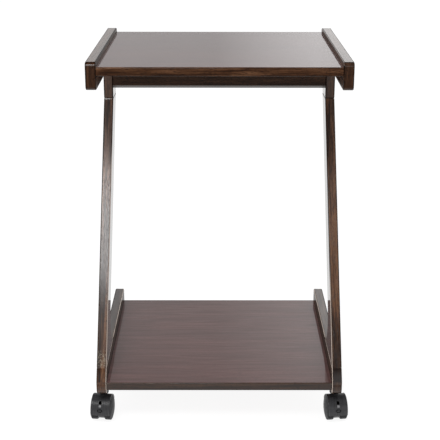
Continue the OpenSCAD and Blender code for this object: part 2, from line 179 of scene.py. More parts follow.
class WoodLook(bpy.types.PropertyGroup):
    """Colours and gloss of the stained wood."""

    dark: FloatVectorProperty(
        name="Dark Stain", description="Colour in the pores and the dark bands",
        default=(0.018, 0.0075, 0.004), subtype="COLOR", size=3, min=0, max=1)
    middle: FloatVectorProperty(
        name="Middle Stain", description="Colour of most of the wood",
        default=(0.072, 0.029, 0.0125), subtype="COLOR", size=3, min=0, max=1)
    light: FloatVectorProperty(
        name="Light Stain", description="Colour of the light streaks",
        default=(0.17, 0.08, 0.04), subtype="COLOR", size=3, min=0, max=1)
    panel_dark: FloatVectorProperty(
        name="Panel Dark", description="Dark bands of the tabletop and the shelf",
        default=(0.068, 0.026, 0.023), subtype="COLOR", size=3, min=0, max=1)
    panel_middle: FloatVectorProperty(
        name="Panel Middle", description="Colour of most of the tabletop and the shelf",
        default=(0.098, 0.037, 0.033), subtype="COLOR", size=3, min=0, max=1)
    panel_light: FloatVectorProperty(
        name="Panel Light", description="Light streaks of the tabletop and the shelf",
        default=(0.135, 0.052, 0.045), subtype="COLOR", size=3, min=0, max=1)
    # Painted highlight: light flecks low on the left leg, standing in for the lamp's reflection broken up by
    # the grain
    glint: FloatVectorProperty(
        name="Glint", description="Colour of the wood where the stain has worn off in flecks",
        default=(0.32, 0.27, 0.19), subtype="COLOR", size=3, min=0, max=1)
    glint_low: FloatProperty(
        name="Worn From", description="Height at which the worn flecks start", default=0.112, unit="LENGTH")
    glint_high: FloatProperty(
        name="Worn To", description="Height at which the worn flecks end", default=0.144, unit="LENGTH")
    fleck_length: FloatProperty(
        name="Fleck Length", description="Length of the worn flecks", default=0.004, unit="LENGTH")
    fleck_width: FloatProperty(
        name="Fleck Width", description="Width of the worn flecks", default=0.0017, unit="LENGTH")
    # Painted highlight: a light colour along the streaks of the inner edges of the legs and base rails, up to
    # a height and fading above it
    highlighted: FloatVectorProperty(
        name="Highlight Edge", description="Colour of the inner edges where the stain is rubbed through",
        default=(0.6, 0.5, 0.43), subtype="COLOR", size=3, min=0, max=1)
    highlight_top: FloatVectorProperty(
        name="Highlight To", description="Heights up to which the left and the right inner edges are rubbed",
        default=(0.45, 0.24), size=2, unit="LENGTH")
    highlight_fade: FloatProperty(
        name="Highlight Fade", description="Height over which the rubbed edges fade out", default=0.05,
        unit="LENGTH")
    roughness: FloatProperty(
        name="Wood Roughness", description="Roughness of the wood under its lacquer",
        default=0.5, min=0, max=1, subtype="FACTOR")
    lacquer: FloatProperty(
        name="Lacquer", description="Weight of the clear lacquer",
        default=1.0, min=0, max=1, subtype="FACTOR")
    band_length: FloatProperty(
        name="Band Length", description="Length of the wide bands of colour", default=0.3, unit="LENGTH")
    band_width: FloatProperty(
        name="Band Width", description="Width of the wide bands of colour", default=0.018, unit="LENGTH")
    streak_length: FloatProperty(
        name="Streak Length", description="Length of the narrow streaks", default=0.09, unit="LENGTH")
    streak_width: FloatProperty(
        name="Streak Width", description="Width of the narrow streaks", default=0.0032, unit="LENGTH")
    pore_length: FloatProperty(
        name="Pore Length", description="Length of the open pores", default=0.008, unit="LENGTH")
    pore_width: FloatProperty(
        name="Pore Width", description="Width of the open pores", default=0.0005, unit="LENGTH")


class CasterLook(bpy.types.PropertyGroup):
    """Sizes and colours of the casters."""

    hood_width: FloatProperty(
        name="Hood Width", description="Width of the hood over the wheels", default=0.037, unit="LENGTH")
    hood_wall: FloatProperty(
        name="Hood Wall", description="Wall of the hood", default=0.0018, unit="LENGTH")
    hood_gap: FloatProperty(
        name="Hood Gap", description="Gap between the hood and the wheels", default=0.0006, unit="LENGTH")
    front_lip: FloatProperty(
        name="Front Lip", description="Angle of the front lip below the axle",
        default=math.radians(14), subtype="ANGLE")
    rear_lip: FloatProperty(
        name="Rear Lip", description="Angle of the rear lip above the axle",
        default=math.radians(20), subtype="ANGLE")
    web_half: FloatProperty(
        name="Half Web", description="Half the width of the web between the wheels",
        default=0.0065, unit="LENGTH")
    web_radius: FloatProperty(
        name="Web Radius", description="Radius of the web round the axle", default=0.021, unit="LENGTH")
    collar_radius: FloatProperty(
        name="Collar Radius", description="Radius of the collar on top of the hood",
        default=0.009, unit="LENGTH")
    collar_length: FloatProperty(
        name="Collar Length", description="Length of the collar", default=0.012, unit="LENGTH")
    boss_low: FloatProperty(
        name="Boss Floor", description="How far the boss for the stem reaches below the axle",
        default=0.007, unit="LENGTH")
    stem_floor: FloatProperty(
        name="Stem Floor", description="How far the bore for the stem reaches below the axle",
        default=0.0045, unit="LENGTH")
    stem_bore: FloatProperty(
        name="Stem Bore", description="Radius of the bore for the stem", default=0.00408, unit="LENGTH")
    axle_bore: FloatProperty(
        name="Axle Bore", description="Radius of the bore for the axle", default=0.00302, unit="LENGTH")
    slot_size: FloatVectorProperty(
        name="Slot Size", description="Width, height and depth of the slot",
        default=(0.005, 0.0065, 0.009), size=3, unit="LENGTH")
    slot_angle: FloatProperty(
        name="Slot Angle", description="Where the slot is on the hood, up from the level of the axle",
        default=math.radians(44), subtype="ANGLE")
    tab_size: FloatVectorProperty(
        name="Tab Size", description="Width and height of the tab and how far it stands out",
        default=(0.0045, 0.0044, 0.0005), size=3, unit="LENGTH")
    tab_angle: FloatProperty(
        name="Tab Angle", description="Where the tab is on the hood",
        default=math.radians(29), subtype="ANGLE")
    button_size: FloatVectorProperty(
        name="Button Size", description="Width and height of the button and how far it stands out",
        default=(0.0115, 0.0075, 0.0007), size=3, unit="LENGTH")
    button_angle: FloatProperty(
        name="Button Angle", description="Where the button is on the hood",
        default=math.radians(10), subtype="ANGLE")
    groove_size: FloatVectorProperty(
        name="Groove Size", description="Rim, width and depth of the groove in the button",
        default=(0.0008, 0.0014, 0.0012), size=3, unit="LENGTH")
    wheel_out: FloatProperty(
        name="Wheel Face", description="Distance of the wheel's face from the middle of the caster",
        default=0.0225, unit="LENGTH")
    wheel_in: FloatProperty(
        name="Wheel Back", description="Distance of the wheel's inner side from the middle of the caster",
        default=0.007, unit="LENGTH")
    dome_radius: FloatProperty(
        name="Dome Radius", description="Radius of the domed wheel face", default=0.075, unit="LENGTH")
    rim_wall: FloatProperty(
        name="Rim Wall", description="Wall of the wheel rim", default=0.0035, unit="LENGTH")
    hub_radius: FloatProperty(
        name="Hub Radius", description="Radius of the wheel hub", default=0.0065, unit="LENGTH")
    recess_depth: FloatProperty(
        name="Recess Depth", description="Depth of the open inside of the wheel",
        default=0.007, unit="LENGTH")
    wheel_bore: FloatProperty(
        name="Wheel Bore", description="Radius of the wheel's bore", default=0.00308, unit="LENGTH")
    wheel_bore_end: FloatProperty(
        name="Wheel Bore End", description="Distance of the bore's end from the middle of the caster",
        default=0.0185, unit="LENGTH")
    ribs: IntProperty(name="Ribs", description="Ribs inside each wheel", default=6, min=3, max=12)
    rib_thickness: FloatProperty(
        name="Rib Thickness", description="Thickness of the ribs", default=0.0016, unit="LENGTH")
    rib_setback: FloatProperty(
        name="Rib Setback", description="How far the ribs stay below the rim", default=0.001, unit="LENGTH")
    moulded_edge: FloatProperty(
        name="Moulded Edge", description="Radius on the edges of the mouldings",
        default=0.0004, unit="LENGTH")
    tread_edge: FloatProperty(
        name="Tread Edge", description="Radius where the tread meets the wheel's face",
        default=0.001, unit="LENGTH")
    tread_shoulder: FloatProperty(
        name="Tread Shoulder", description="Radius on the inner edge of the tread",
        default=0.002, unit="LENGTH")
    turn_steps: IntProperty(
        name="Turn Steps", description="Segments in a full turn", default=80, min=24, max=160)
    hood_colour: FloatVectorProperty(
        name="Hood Colour", description="Colour of the moulded hood",
        default=(0.024, 0.024, 0.026), subtype="COLOR", size=3, min=0, max=1)
    wheel_colour: FloatVectorProperty(
        name="Wheel Colour", description="Colour of the moulded wheels",
        default=(0.012, 0.012, 0.0135), subtype="COLOR", size=3, min=0, max=1)
    # Painted shade: near-black plastic inside the slot and the groove, where shade falls in the recesses
    recess_shade_colour: FloatVectorProperty(
        name="Recess Colour", description="Colour inside the slot and the groove of the hood",
        default=(0.004, 0.004, 0.0045), subtype="COLOR", size=3, min=0, max=1)
    # Painted highlight: the tab is lighter than the hood, standing in for the sheen on its curved face
    tab_highlight_colour: FloatVectorProperty(
        name="Tab Colour", description="Colour of the tab, which is polished by use",
        default=(0.16, 0.16, 0.165), subtype="COLOR", size=3, min=0, max=1)


class FittingLook(bpy.types.PropertyGroup):
    """Colours of the fasteners, the stems, the axles and the sockets."""

    steel_dull: FloatVectorProperty(
        name="Dull Steel", description="Colour of the dull clouds in the zinc plating",
        default=(0.42, 0.42, 0.43), subtype="COLOR", size=3, min=0, max=1)
    steel_bright: FloatVectorProperty(
        name="Bright Steel", description="Colour of the bright clouds in the zinc plating",
        default=(0.6, 0.6, 0.61), subtype="COLOR", size=3, min=0, max=1)
    beech_dark: FloatVectorProperty(
        name="Dark Beech", description="Colour of the dark flecks in the dowels",
        default=(0.42, 0.27, 0.15), subtype="COLOR", size=3, min=0, max=1)
    beech_light: FloatVectorProperty(
        name="Light Beech", description="Colour of the dowels between the dark flecks",
        default=(0.6, 0.43, 0.27), subtype="COLOR", size=3, min=0, max=1)
    socket_colour: FloatVectorProperty(
        name="Socket Colour", description="Colour of the moulded sockets",
        default=(0.03, 0.03, 0.032), subtype="COLOR", size=3, min=0, max=1)


class StudioSetup(bpy.types.PropertyGroup):
    """Camera, lamps and floor."""

    lens: FloatProperty(
        name="Lens", description="Focal length on a 36 mm wide sensor, in millimetres", default=88.94)
    camera_place: FloatVectorProperty(
        name="Camera Place", description="Where the camera stands",
        default=(-0.005, -2.0936, 1.0294), subtype="TRANSLATION", size=3)
    pitch: FloatProperty(
        name="Pitch", description="How far the camera looks down",
        default=math.radians(18.04), subtype="ANGLE")
    yaw: FloatProperty(
        name="Yaw", description="How far the camera turns to the right",
        default=math.radians(0.18), subtype="ANGLE")
    roll: FloatProperty(
        name="Roll", description="Turn of the picture", default=math.radians(0.10), subtype="ANGLE")
    floor_size: FloatProperty(
        name="Floor Size", description="Half the side of the floor", default=14.0, unit="LENGTH")
    floor_colour: FloatVectorProperty(
        name="Floor Colour", description="Colour of the floor",
        default=(0.86, 0.86, 0.86), subtype="COLOR", size=3, min=0, max=1)
    floor_white: FloatProperty(
        name="Floor White", description="White of the floor as the camera sees it, without its light",
        default=0.9, min=0, max=1, subtype="FACTOR")
    floor_shadow: FloatProperty(
        name="Floor Shadow", description="Colour that takes the table's shadow, as the camera sees it",
        default=0.2, min=0, max=1, subtype="FACTOR")
    floor_depths: FloatVectorProperty(
        name="Floor Depths", description="Depths between which the floor turns white in gloss",
        default=(-0.9, -0.1), size=2, unit="LENGTH")
    floor_dim: FloatProperty(
        name="Floor Dim", description="White of the floor in gloss, in front of those depths", default=0.05)
    room_light: FloatProperty(
        name="Room Light", description="Strength of the soft light from all round", default=0.7)
    high_starts: FloatVectorProperty(
        name="High Starts", description="Heights between which the backdrop darkens in gloss, 1 overhead",
        default=(0.42, 0.62), size=2)
    high_dim: FloatProperty(
        name="High Dim", description="White of the top of the backdrop in gloss", default=0.08)
    left_ends: FloatVectorProperty(
        name="Left Ends", description="Places across the backdrop between which its dim left ends in gloss",
        default=(0.0, 0.09), size=2)
    left_dim: FloatProperty(
        name="Left Dim", description="White of the left of the backdrop in gloss", default=0.56)
    key_place: FloatVectorProperty(
        name="Key Place", description="Where the key lamp hangs",
        default=(-0.42, -1.15, 1.5), subtype="TRANSLATION", size=3)
    key_target: FloatVectorProperty(
        name="Key Target", description="Where the key lamp points",
        default=(-0.225, -0.07, 0.36), subtype="TRANSLATION", size=3)
    key_size: FloatVectorProperty(
        name="Key Size", description="Width and height of the key lamp", default=(0.9, 0.42), size=2,
        unit="LENGTH")
    key_power: FloatProperty(
        name="Key Power", description="Power of the soft lamp in front", default=10.8, unit="POWER")
    fill_place: FloatVectorProperty(
        name="Fill Place", description="Where the fill lamp hangs",
        default=(0.6, -0.6, 2.4), subtype="TRANSLATION", size=3)
    fill_target: FloatVectorProperty(
        name="Fill Target", description="Where the fill lamp points",
        default=(0, 0, 0.3), subtype="TRANSLATION", size=3)
    fill_size: FloatVectorProperty(
        name="Fill Size", description="Width and height of the fill lamp", default=(1.6, 1.6), size=2,
        unit="LENGTH")
    fill_power: FloatProperty(
        name="Fill Power", description="Power of the soft lamp overhead", default=2.0, unit="POWER")


def arc(centre, radius, start, end, steps):
    """Points along an arc, its angles in degrees; a point is (along the depth, up)."""
    angles = [math.radians(start + (end - start) * i / steps) for i in range(steps + 1)]
    return [(centre[0] + radius * math.cos(a), centre[1] + radius * math.sin(a)) for a in angles]


def round_rectangle(low, high, radius, steps):
    """Outline of a rectangle with round corners, anticlockwise."""
    corners = (((high[0] - radius, low[1] + radius), 270), ((high[0] - radius, high[1] - radius), 0),
               ((low[0] + radius, high[1] - radius), 90), ((low[0] + radius, low[1] + radius), 180))
    points = []
    for centre, start in corners:
        points += arc(centre, radius, start, start + 90, steps)
    return points


def bridge(bm, loops, closed=False):
    """Faces between each loop of points and the next, and from the last to the first when closed."""
    rings = [[bm.verts.new(point) for point in loop] for loop in loops]
    last = len(rings) if closed else len(rings) - 1
    for i in range(last):
        near, far = rings[i], rings[(i + 1) % len(rings)]
        for j in range(len(near)):
            k = (j + 1) % len(near)
            bm.faces.new((near[j], near[k], far[k], far[j]))
    return rings


def prism(outline, low_x, high_x):
    """A bmesh of a side-view outline drawn as (y, z), run across the table, and its two rims of edges."""
    bm = bmesh.new()
    rings = bridge(bm, [[(x, y, z) for y, z in outline] for x in (low_x, high_x)])
    bm.faces.new(reversed(rings[0]))
    bm.faces.new(rings[1])
    count = len(outline)
    rims = []
    for ring in rings:
        rims += [bm.edges.get((ring[i], ring[(i + 1) % count])) for i in range(count)]
    bmesh.ops.recalc_face_normals(bm, faces=bm.faces)
    return bm, rims


def lathe(profile, steps, start=0.0, end=360.0):
    """A closed profile of (radius, along) turned about the X axis, with end caps where the turn is short."""
    bm = bmesh.new()
    full = end - start >= 360
    count = steps if full else steps + 1
    angles = [math.radians(start + (end - start) * i / steps) for i in range(count)]
    rings = bridge(bm, [[(x, r * math.cos(a), r * math.sin(a)) for r, x in profile] for a in angles], full)
    if not full:
        bm.faces.new(reversed(rings[0]))
        bm.faces.new(rings[-1])
    bmesh.ops.remove_doubles(bm, verts=bm.verts, dist=1e-7)
    bmesh.ops.recalc_face_normals(bm, faces=bm.faces)
    return bm


def ease_edges(bm, edges, radius, steps=4, slot=1):
    """Rounds the edges, puts the new faces in a material slot and gives them back."""
    made = bmesh.ops.bevel(bm, geom=edges, offset=radius, segments=steps, profile=0.5,
                           affect="EDGES", clamp_overlap=False, offset_type="OFFSET")
    for face in made["faces"]:
        face.material_index = slot
    return made["faces"]


def sharp_edges(bm, limit=math.radians(35)):
    """Edges whose two faces meet at more than the limit."""
    return [e for e in bm.edges if len(e.link_faces) == 2 and e.calc_face_angle(0) > limit]


def finish_object(bm, name, materials, smooth_limit=math.radians(40)):
    """Turns a bmesh into a smooth object with sharp corners kept and normals weighted by face area."""
    mesh = bpy.data.meshes.new(name)
    bm.to_mesh(mesh)
    bm.free()
    for material in materials:
        mesh.materials.append(material)
    mesh.shade_smooth()
    mesh.set_sharp_from_angle(angle=smooth_limit)
    made = bpy.data.objects.new(name, mesh)
    bpy.context.scene.collection.objects.link(made)
    weighted = made.modifiers.new("Flat Broad Faces", "WEIGHTED_NORMAL")
    weighted.keep_sharp = True
    weighted.weight = 80
    return made


def combine(body, others, operation):
    """Joins the other bmeshes to a body, or cuts them from it, and gives the result as a bmesh."""
    made = []
    for bm in (body, *others):
        mesh = bpy.data.meshes.new("shape")
        bm.to_mesh(mesh)
        bm.free()
        made.append(bpy.data.objects.new("shape", mesh))
        bpy.context.scene.collection.objects.link(made[-1])
    for tool in made[1:]:
        modifier = made[0].modifiers.new("Combine", "BOOLEAN")
        modifier.operation = operation
        modifier.solver = "EXACT"
        modifier.object = tool
    shaped = bpy.data.meshes.new_from_object(made[0].evaluated_get(bpy.context.evaluated_depsgraph_get()))
    result = bmesh.new()
    result.from_mesh(shaped)
    bpy.data.meshes.remove(shaped)
    for spent in made:
        bpy.data.meshes.remove(spent.data)
    return result


def mount_piece(made, body, nodes):
    """Fixes a piece to its body, in place of its frame nodes."""
    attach(made, body)
    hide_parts(*nodes)


def add_node(tree, kind, settings=None, **inputs):
    """Adds a shader node. An input is a number, a colour or another node's output."""
    made = tree.nodes.new("ShaderNode" + kind)
    for name, value in (settings or {}).items():
        setattr(made, name, value)
    for name, value in inputs.items():
        plug(tree, made.inputs[name.replace("_", " ")], value)
    return made


def plug(tree, socket, value):
    """Sets a socket, or links it to another node's output."""
    if isinstance(value, bpy.types.NodeSocket):
        tree.links.new(value, socket)
    else:
        socket.default_value = value


def math_node(tree, operation, first, second=0.0, clamp=False):
    """A Math node's output."""
    made = tree.nodes.new("ShaderNodeMath")
    made.operation = operation
    made.use_clamp = clamp
    plug(tree, made.inputs[0], first)
    plug(tree, made.inputs[1], second)
    return made.outputs[0]


def weighted_sum(tree, first, first_share, second, second_share):
    """The sum of two values, each times its share."""
    return math_node(tree, "ADD", math_node(tree, "MULTIPLY", first, first_share),
                     math_node(tree, "MULTIPLY", second, second_share))


def map_range(tree, value, low, high, to_low=0.0, to_high=1.0):
    """A Map Range node's output, held between its two ends."""
    made = add_node(tree, "MapRange", None, Value=value, From_Min=low, From_Max=high,
                    To_Min=to_low, To_Max=to_high)
    return made.outputs[0]


def colour_ramp(tree, factor, stops):
    """A colour ramp's output; a stop is (place, colour)."""
    made = tree.nodes.new("ShaderNodeValToRGB")
    elements = made.color_ramp.elements
    while len(elements) < len(stops):
        elements.new(0.5)
    for element, (place, colour) in zip(elements, stops):
        element.position = place
        element.color = (*colour, 1)
    tree.links.new(factor, made.inputs["Fac"])
    return made.outputs["Color"]


def mix_colour(tree, factor, under, over):
    """A plain colour mixed over another node's colour."""
    made = tree.nodes.new("ShaderNodeMix")
    made.data_type = "RGBA"
    plug(tree, made.inputs["Factor"], factor)
    plug(tree, made.inputs[6], under)
    plug(tree, made.inputs[7], (*over, 1))
    return made.outputs[2]


def new_material(name):
    """An empty node material and its shader."""
    made = bpy.data.materials.new(name)
    made.use_nodes = True
    tree = made.node_tree
    return made, tree, tree.nodes["Principled BSDF"]


def even_noise(tree, place, scale, detail, roughness=0.5):
    """Noise that is the same in every direction, with about as many features in a metre as its scale."""
    noise = add_node(tree, "TexNoise", None, Vector=place, Scale=scale, Detail=detail, Roughness=roughness)
    return noise.outputs["Fac"]


def grain_noise(tree, place, along, across, detail, roughness=0.5):
    """Noise whose features have the given sizes, in metres, along X and across it."""
    stretched = add_node(tree, "Mapping", {"vector_type": "TEXTURE"}, Vector=place,
                         Scale=(along, across, across))
    return even_noise(tree, stretched.outputs[0], 1.0, detail, roughness)


def frame_tones(tone=1.0, haze=0.0):
    """The stain of the side frames, dark to light: tone brightens it and haze greys it."""
    look = bpy.context.scene.table_wood
    stains = (look.dark, look.middle, look.light)
    return [tuple(c * tone + haze for c in stain) for stain in stains]


def panel_tones(tone=1.0):
    """The stain of the tabletop and the shelf, dark to light."""
    look = bpy.context.scene.table_wood
    stains = (look.panel_dark, look.panel_middle, look.panel_light)
    return [tuple(c * tone for c in stain) for stain in stains]


def grain_place(tree, at_rest, grain, shift):
    """Places with X along the grain, moved by a wood's own shift and wandering off straight."""
    turn = ALONG_X.rotation_difference(grain).to_euler()
    straight = add_node(tree, "Mapping", {"vector_type": "TEXTURE"}, Vector=at_rest, Rotation=turn,
                        Location=tuple(shift * share for share in SHIFT_SHARES)).outputs[0]
    waves = add_node(tree, "TexNoise", None, Vector=straight, Scale=WAVES, Detail=2.0)
    wander = add_node(tree, "VectorMath", {"operation": "MULTIPLY_ADD"}, Vector=waves.outputs["Color"])
    wander.inputs[1].default_value = (0, WANDER, WANDER)
    tree.links.new(straight, wander.inputs[2])
    return wander.outputs[0]


def glint_flecks(tree, colour, place, at_rest):
    """The colour, with light flecks between the two heights: a painted highlight broken up by the grain."""
    look = bpy.context.scene.table_wood
    flecks = grain_noise(tree, place, look.fleck_length, look.fleck_width, 3.0, 0.7)
    height = add_node(tree, "SeparateXYZ", None, Vector=at_rest).outputs["Z"]
    middle, half = (look.glint_low + look.glint_high) / 2, (look.glint_high - look.glint_low) / 2
    away = math_node(tree, "ABSOLUTE", math_node(tree, "SUBTRACT", height, middle))
    zone = map_range(tree, away, half / 2, half, 1.0, 0.0)
    painted_light = math_node(tree, "MULTIPLY", map_range(tree, flecks, *FLECK_MASK), zone)
    return mix_colour(tree, painted_light, colour, look.glint)


def painted_edge_highlight(tree, colour, streaks, at_rest, high):
    """The colour, with a painted highlight along the streaks up to a height, fading out above it."""
    look = bpy.context.scene.table_wood
    height = add_node(tree, "SeparateXYZ", None, Vector=at_rest).outputs["Z"]
    zone = map_range(tree, height, high, high + look.highlight_fade, 1.0, 0.0)
    painted_light = math_node(tree, "MULTIPLY", map_range(tree, streaks, *HIGHLIGHT_MASK), zone)
    return mix_colour(tree, painted_light, colour, look.highlighted)


def stained_wood(name, grain, shift, tones, contrast=1.0, gloss=0.0, coat=0.08, weight=1.0, relief=0.15,
                 glint=False, highlight_top=0.0):
    """Lacquered wood with its grain along a direction, its tones dark to light.

    Gloss is the sheen of the wood itself, coat and weight the roughness and the weight of its lacquer,
    and relief how strongly the grain shows in the lacquer. Worn adds light flecks low down, a painted
    highlight, and highlight_top is the height up to which a painted highlight lies along the streaks, or 0
    where there is none.
    """
    look = bpy.context.scene.table_wood
    made, tree, shader = new_material(name)
    at_rest = add_node(tree, "TexCoord").outputs["Object"]
    place = grain_place(tree, at_rest, grain, shift)
    bands = grain_noise(tree, place, look.band_length, look.band_width, 3.0)
    streaks = grain_noise(tree, place, look.streak_length, look.streak_width, 4.0, 0.6)
    pores = grain_noise(tree, place, look.pore_length, look.pore_width, 1.0)
    figure = weighted_sum(tree, bands, 0.5, streaks, 0.5)
    spread = TONE_SPREAD / contrast
    colour = colour_ramp(tree, figure, [(0.5 - spread, tones[0]), (0.5, tones[1]), (0.5 + spread, tones[2])])
    closed = map_range(tree, pores, *PORE_MASK)
    colour = mix_colour(tree, math_node(tree, "SUBTRACT", 1.0, closed), colour, tones[0])
    if glint:
        colour = glint_flecks(tree, colour, place, at_rest)
    if highlight_top:
        colour = painted_edge_highlight(tree, colour, streaks, at_rest, highlight_top)
    shine = map_range(tree, streaks, *SHEEN_MASK,
                      look.roughness + SHEEN_SPREAD, look.roughness - SHEEN_SPREAD)
    surface = weighted_sum(tree, streaks, 0.6, closed, 0.4)
    bump = add_node(tree, "Bump", None, Height=surface, Strength=relief, Distance=GRAIN_DEPTH)
    plug(tree, shader.inputs["Base Color"], colour)
    plug(tree, shader.inputs["Roughness"], shine)
    plug(tree, shader.inputs["Normal"], bump.outputs[0])
    plug(tree, shader.inputs["Coat Normal"], bump.outputs[0])
    shader.inputs["Specular IOR Level"].default_value = gloss
    shader.inputs["Coat Weight"].default_value = look.lacquer * weight
    shader.inputs["Coat Roughness"].default_value = coat
    return made


def moulded_plastic(name, colour, roughness, streak=0.35, gloss=0.32):
    """Moulded plastic with a fine matt texture, faint scuffs and fine lines that run front to back.

    Streak is the share of the lines in its marks, and the scuffs have the rest.
    """
    made, tree, shader = new_material(name)
    place = add_node(tree, "TexCoord").outputs["Object"]
    grain = even_noise(tree, place, MATT_GRAINS, 2.0)
    scuffs = even_noise(tree, place, SCUFFS, 4.0, 0.65)
    lines = grain_noise(tree, place, LINE_WIDTH, LINE_LENGTH, 2.0)
    marks = weighted_sum(tree, scuffs, 1 - streak, lines, streak)
    lighter = tuple(c * 1.9 + 0.006 for c in colour)
    shine = map_range(tree, marks, 0.35, 0.65, roughness + 0.08, roughness - 0.06)
    bump = add_node(tree, "Bump", None, Height=grain, Strength=0.25, Distance=0.00005)
    plug(tree, shader.inputs["Base Color"], colour_ramp(tree, marks, [(0.4, tuple(colour)), (0.68, lighter)]))
    plug(tree, shader.inputs["Roughness"], shine)
    plug(tree, shader.inputs["Normal"], bump.outputs[0])
    shader.inputs["Specular IOR Level"].default_value = gloss
    return made


def plated_steel(name):
    """Steel with cloudy zinc plating."""
    look = bpy.context.scene.table_fittings
    made, tree, shader = new_material(name)
    place = add_node(tree, "TexCoord").outputs["Object"]
    clouds = even_noise(tree, place, 220.0, 3.0)
    plug(tree, shader.inputs["Base Color"],
         colour_ramp(tree, clouds, [(0.3, look.steel_dull), (0.7, look.steel_bright)]))
    plug(tree, shader.inputs["Roughness"], map_range(tree, clouds, 0.0, 1.0, 0.22, 0.42))
    shader.inputs["Metallic"].default_value = 1.0
    return made


def dowel_wood(name):
    """Plain beech with short flecks."""
    look = bpy.context.scene.table_fittings
    made, tree, shader = new_material(name)
    place = add_node(tree, "TexCoord").outputs["Object"]
    flecks = grain_noise(tree, place, 0.006, 0.0012, 3.0)
    plug(tree, shader.inputs["Base Color"],
         colour_ramp(tree, flecks, [(0.35, look.beech_dark), (0.65, look.beech_light)]))
    shader.inputs["Roughness"].default_value = 0.7
    return made


def dress_nodes(names, material):
    """Gives frame nodes that keep their own shape a material."""
    for name in names:
        mesh = frame["nodes"][name].data
        mesh.materials.clear()
        mesh.materials.append(material)


def side_range(side):
    """Lowest and highest x of a side's frame boards."""
    if side == "right":
        return RAIL_LOW.x, RAIL_HIGH.x
    return -RAIL_HIGH.x, -RAIL_LOW.x


def panel(name, low, high, materials):
    """A flat board between the side frames, round along its front and back edges."""
    boards = bpy.context.scene.table_boards
    outline = round_rectangle((low.y, low.z), (high.y, high.z), boards.panel_radius, boards.arc_steps)
    bm, rims = prism(outline, low.x, high.x)
    for face in bm.faces:
        if abs(face.normal.y) > LEANS_OUT:
            face.material_index = 1
    ease_edges(bm, rims, boards.seam_ease, 2)
    made = finish_object(bm, name + "_board", materials)
    mount_piece(made, "root", [name])


def frame_boards(node, outline, finishes, ease, dark_ends=False):
    """A left and a right board of one side-view outline, their rims eased.

    A finish has materials for the faces, the edges, the sides, the front, the inner edges that are seen
    from in front or above and, under a sloping front, the upright nose. With dark ends, the back is
    finished as the front, and the round corners and the inner edges of the front as the edges.
    """
    for side, materials in zip(SIDES, finishes):
        low_x, high_x = side_range(side)
        inward = 1 if side == "left" else -1
        bm, rims = prism(outline, low_x, high_x)
        for face in bm.faces:
            if abs(face.normal.x) > TURNED_SIDE:
                face.material_index = 2
            elif face.normal.y < -TURNED_END or (dark_ends and face.normal.y > TURNED_END):
                nose = len(materials) > 5 and face.normal.dot(LEG_FRONT) < TURNED_SLOPE
                face.material_index = 5 if nose else 3
            elif dark_ends and abs(face.normal.z) < TURNED_UP:
                face.material_index = 1
        for face in ease_edges(bm, rims, ease):
            face.normal_update()
            from_front = face.normal.y < -LEANS_OUT and not dark_ends
            if face.normal.x * inward > LEANS_OUT and (from_front or face.normal.z > LEANS_UP):
                face.material_index = 4
        made = finish_object(bm, f"{side}_{node}_board", materials)
        mount_piece(made, "root", [f"{side}_{node}"])


class TableOperator(bpy.types.Operator):
    """Shared settings of the table's operators."""

    bl_options = {"REGISTER", "UNDO"}


class TABLE_OT_tabletop(TableOperator):
    """Make the tabletop"""

    bl_idname = "table.tabletop"
    bl_label = "Tabletop"

    def execute(self, context):
        face = stained_wood("tabletop_face", ALONG_X, 0.3, panel_tones(), gloss=0.2, coat=0.035, relief=0.04)
        edge = stained_wood("tabletop_edge", ALONG_X, 0.7, frame_tones(0.72), contrast=1.5, weight=0.5)
        panel("tabletop", TABLE_LOW, TABLE_HIGH, [face, edge])
        return {"FINISHED"}


class TABLE_OT_shelf(TableOperator):
    """Make the lower shelf"""

    bl_idname = "table.shelf"
    bl_label = "Lower Shelf"

    def execute(self, context):
        # The shelf's stain is a brighter copy of the tabletop's: painted light that makes up for the shade of
        # the tabletop above it
        face = stained_wood("shelf_face", ALONG_X, 1.3, panel_tones(1.2), gloss=0.3, coat=0.035, relief=0.04)
        edge = stained_wood("shelf_edge", ALONG_X, 1.7, frame_tones(0.4, 0.015), contrast=1.2, weight=0.8)
        panel("lower_shelf", SHELF_LOW, SHELF_HIGH, [face, edge])
        return {"FINISHED"}


class TABLE_OT_apron(TableOperator):
    """Make the rear apron, square at the top, its underside rising to the front"""

    bl_idname = "table.apron"
    bl_label = "Rear Apron"

    def execute(self, context):
        boards = context.scene.table_boards
        radius, steps = boards.apron_radius, boards.arc_steps
        slope = math.degrees(boards.apron_slope)
        low, high = (APRON_LOW.y, APRON_LOW.z), (APRON_HIGH.y, APRON_HIGH.z)
        rise = (high[0] - low[0] - 2 * radius) * math.tan(boards.apron_slope)
        outline = [(low[0], high[1])]
        outline += arc((low[0] + radius, low[1] + radius + rise), radius, 180, 270 - slope, steps)
        outline += arc((high[0] - radius, low[1] + radius), radius, 270 - slope, 360, steps)
        outline += [(high[0], high[1])]
        bm, rims = prism(outline, APRON_LOW.x, APRON_HIGH.x)
        ease_edges(bm, rims, boards.seam_ease, 2)
        # The apron's stain at half tone: real stain, darkened with painted shade from the tabletop above it
        stain = stained_wood("apron_stain_and_shade", ALONG_X, 2.1, frame_tones(0.5), contrast=0.8, coat=0.25,
                             weight=0.65)
        made = finish_object(bm, "rear_apron_board", [stain, stain])
        mount_piece(made, "root", ["rear_apron"])
        return {"FINISHED"}


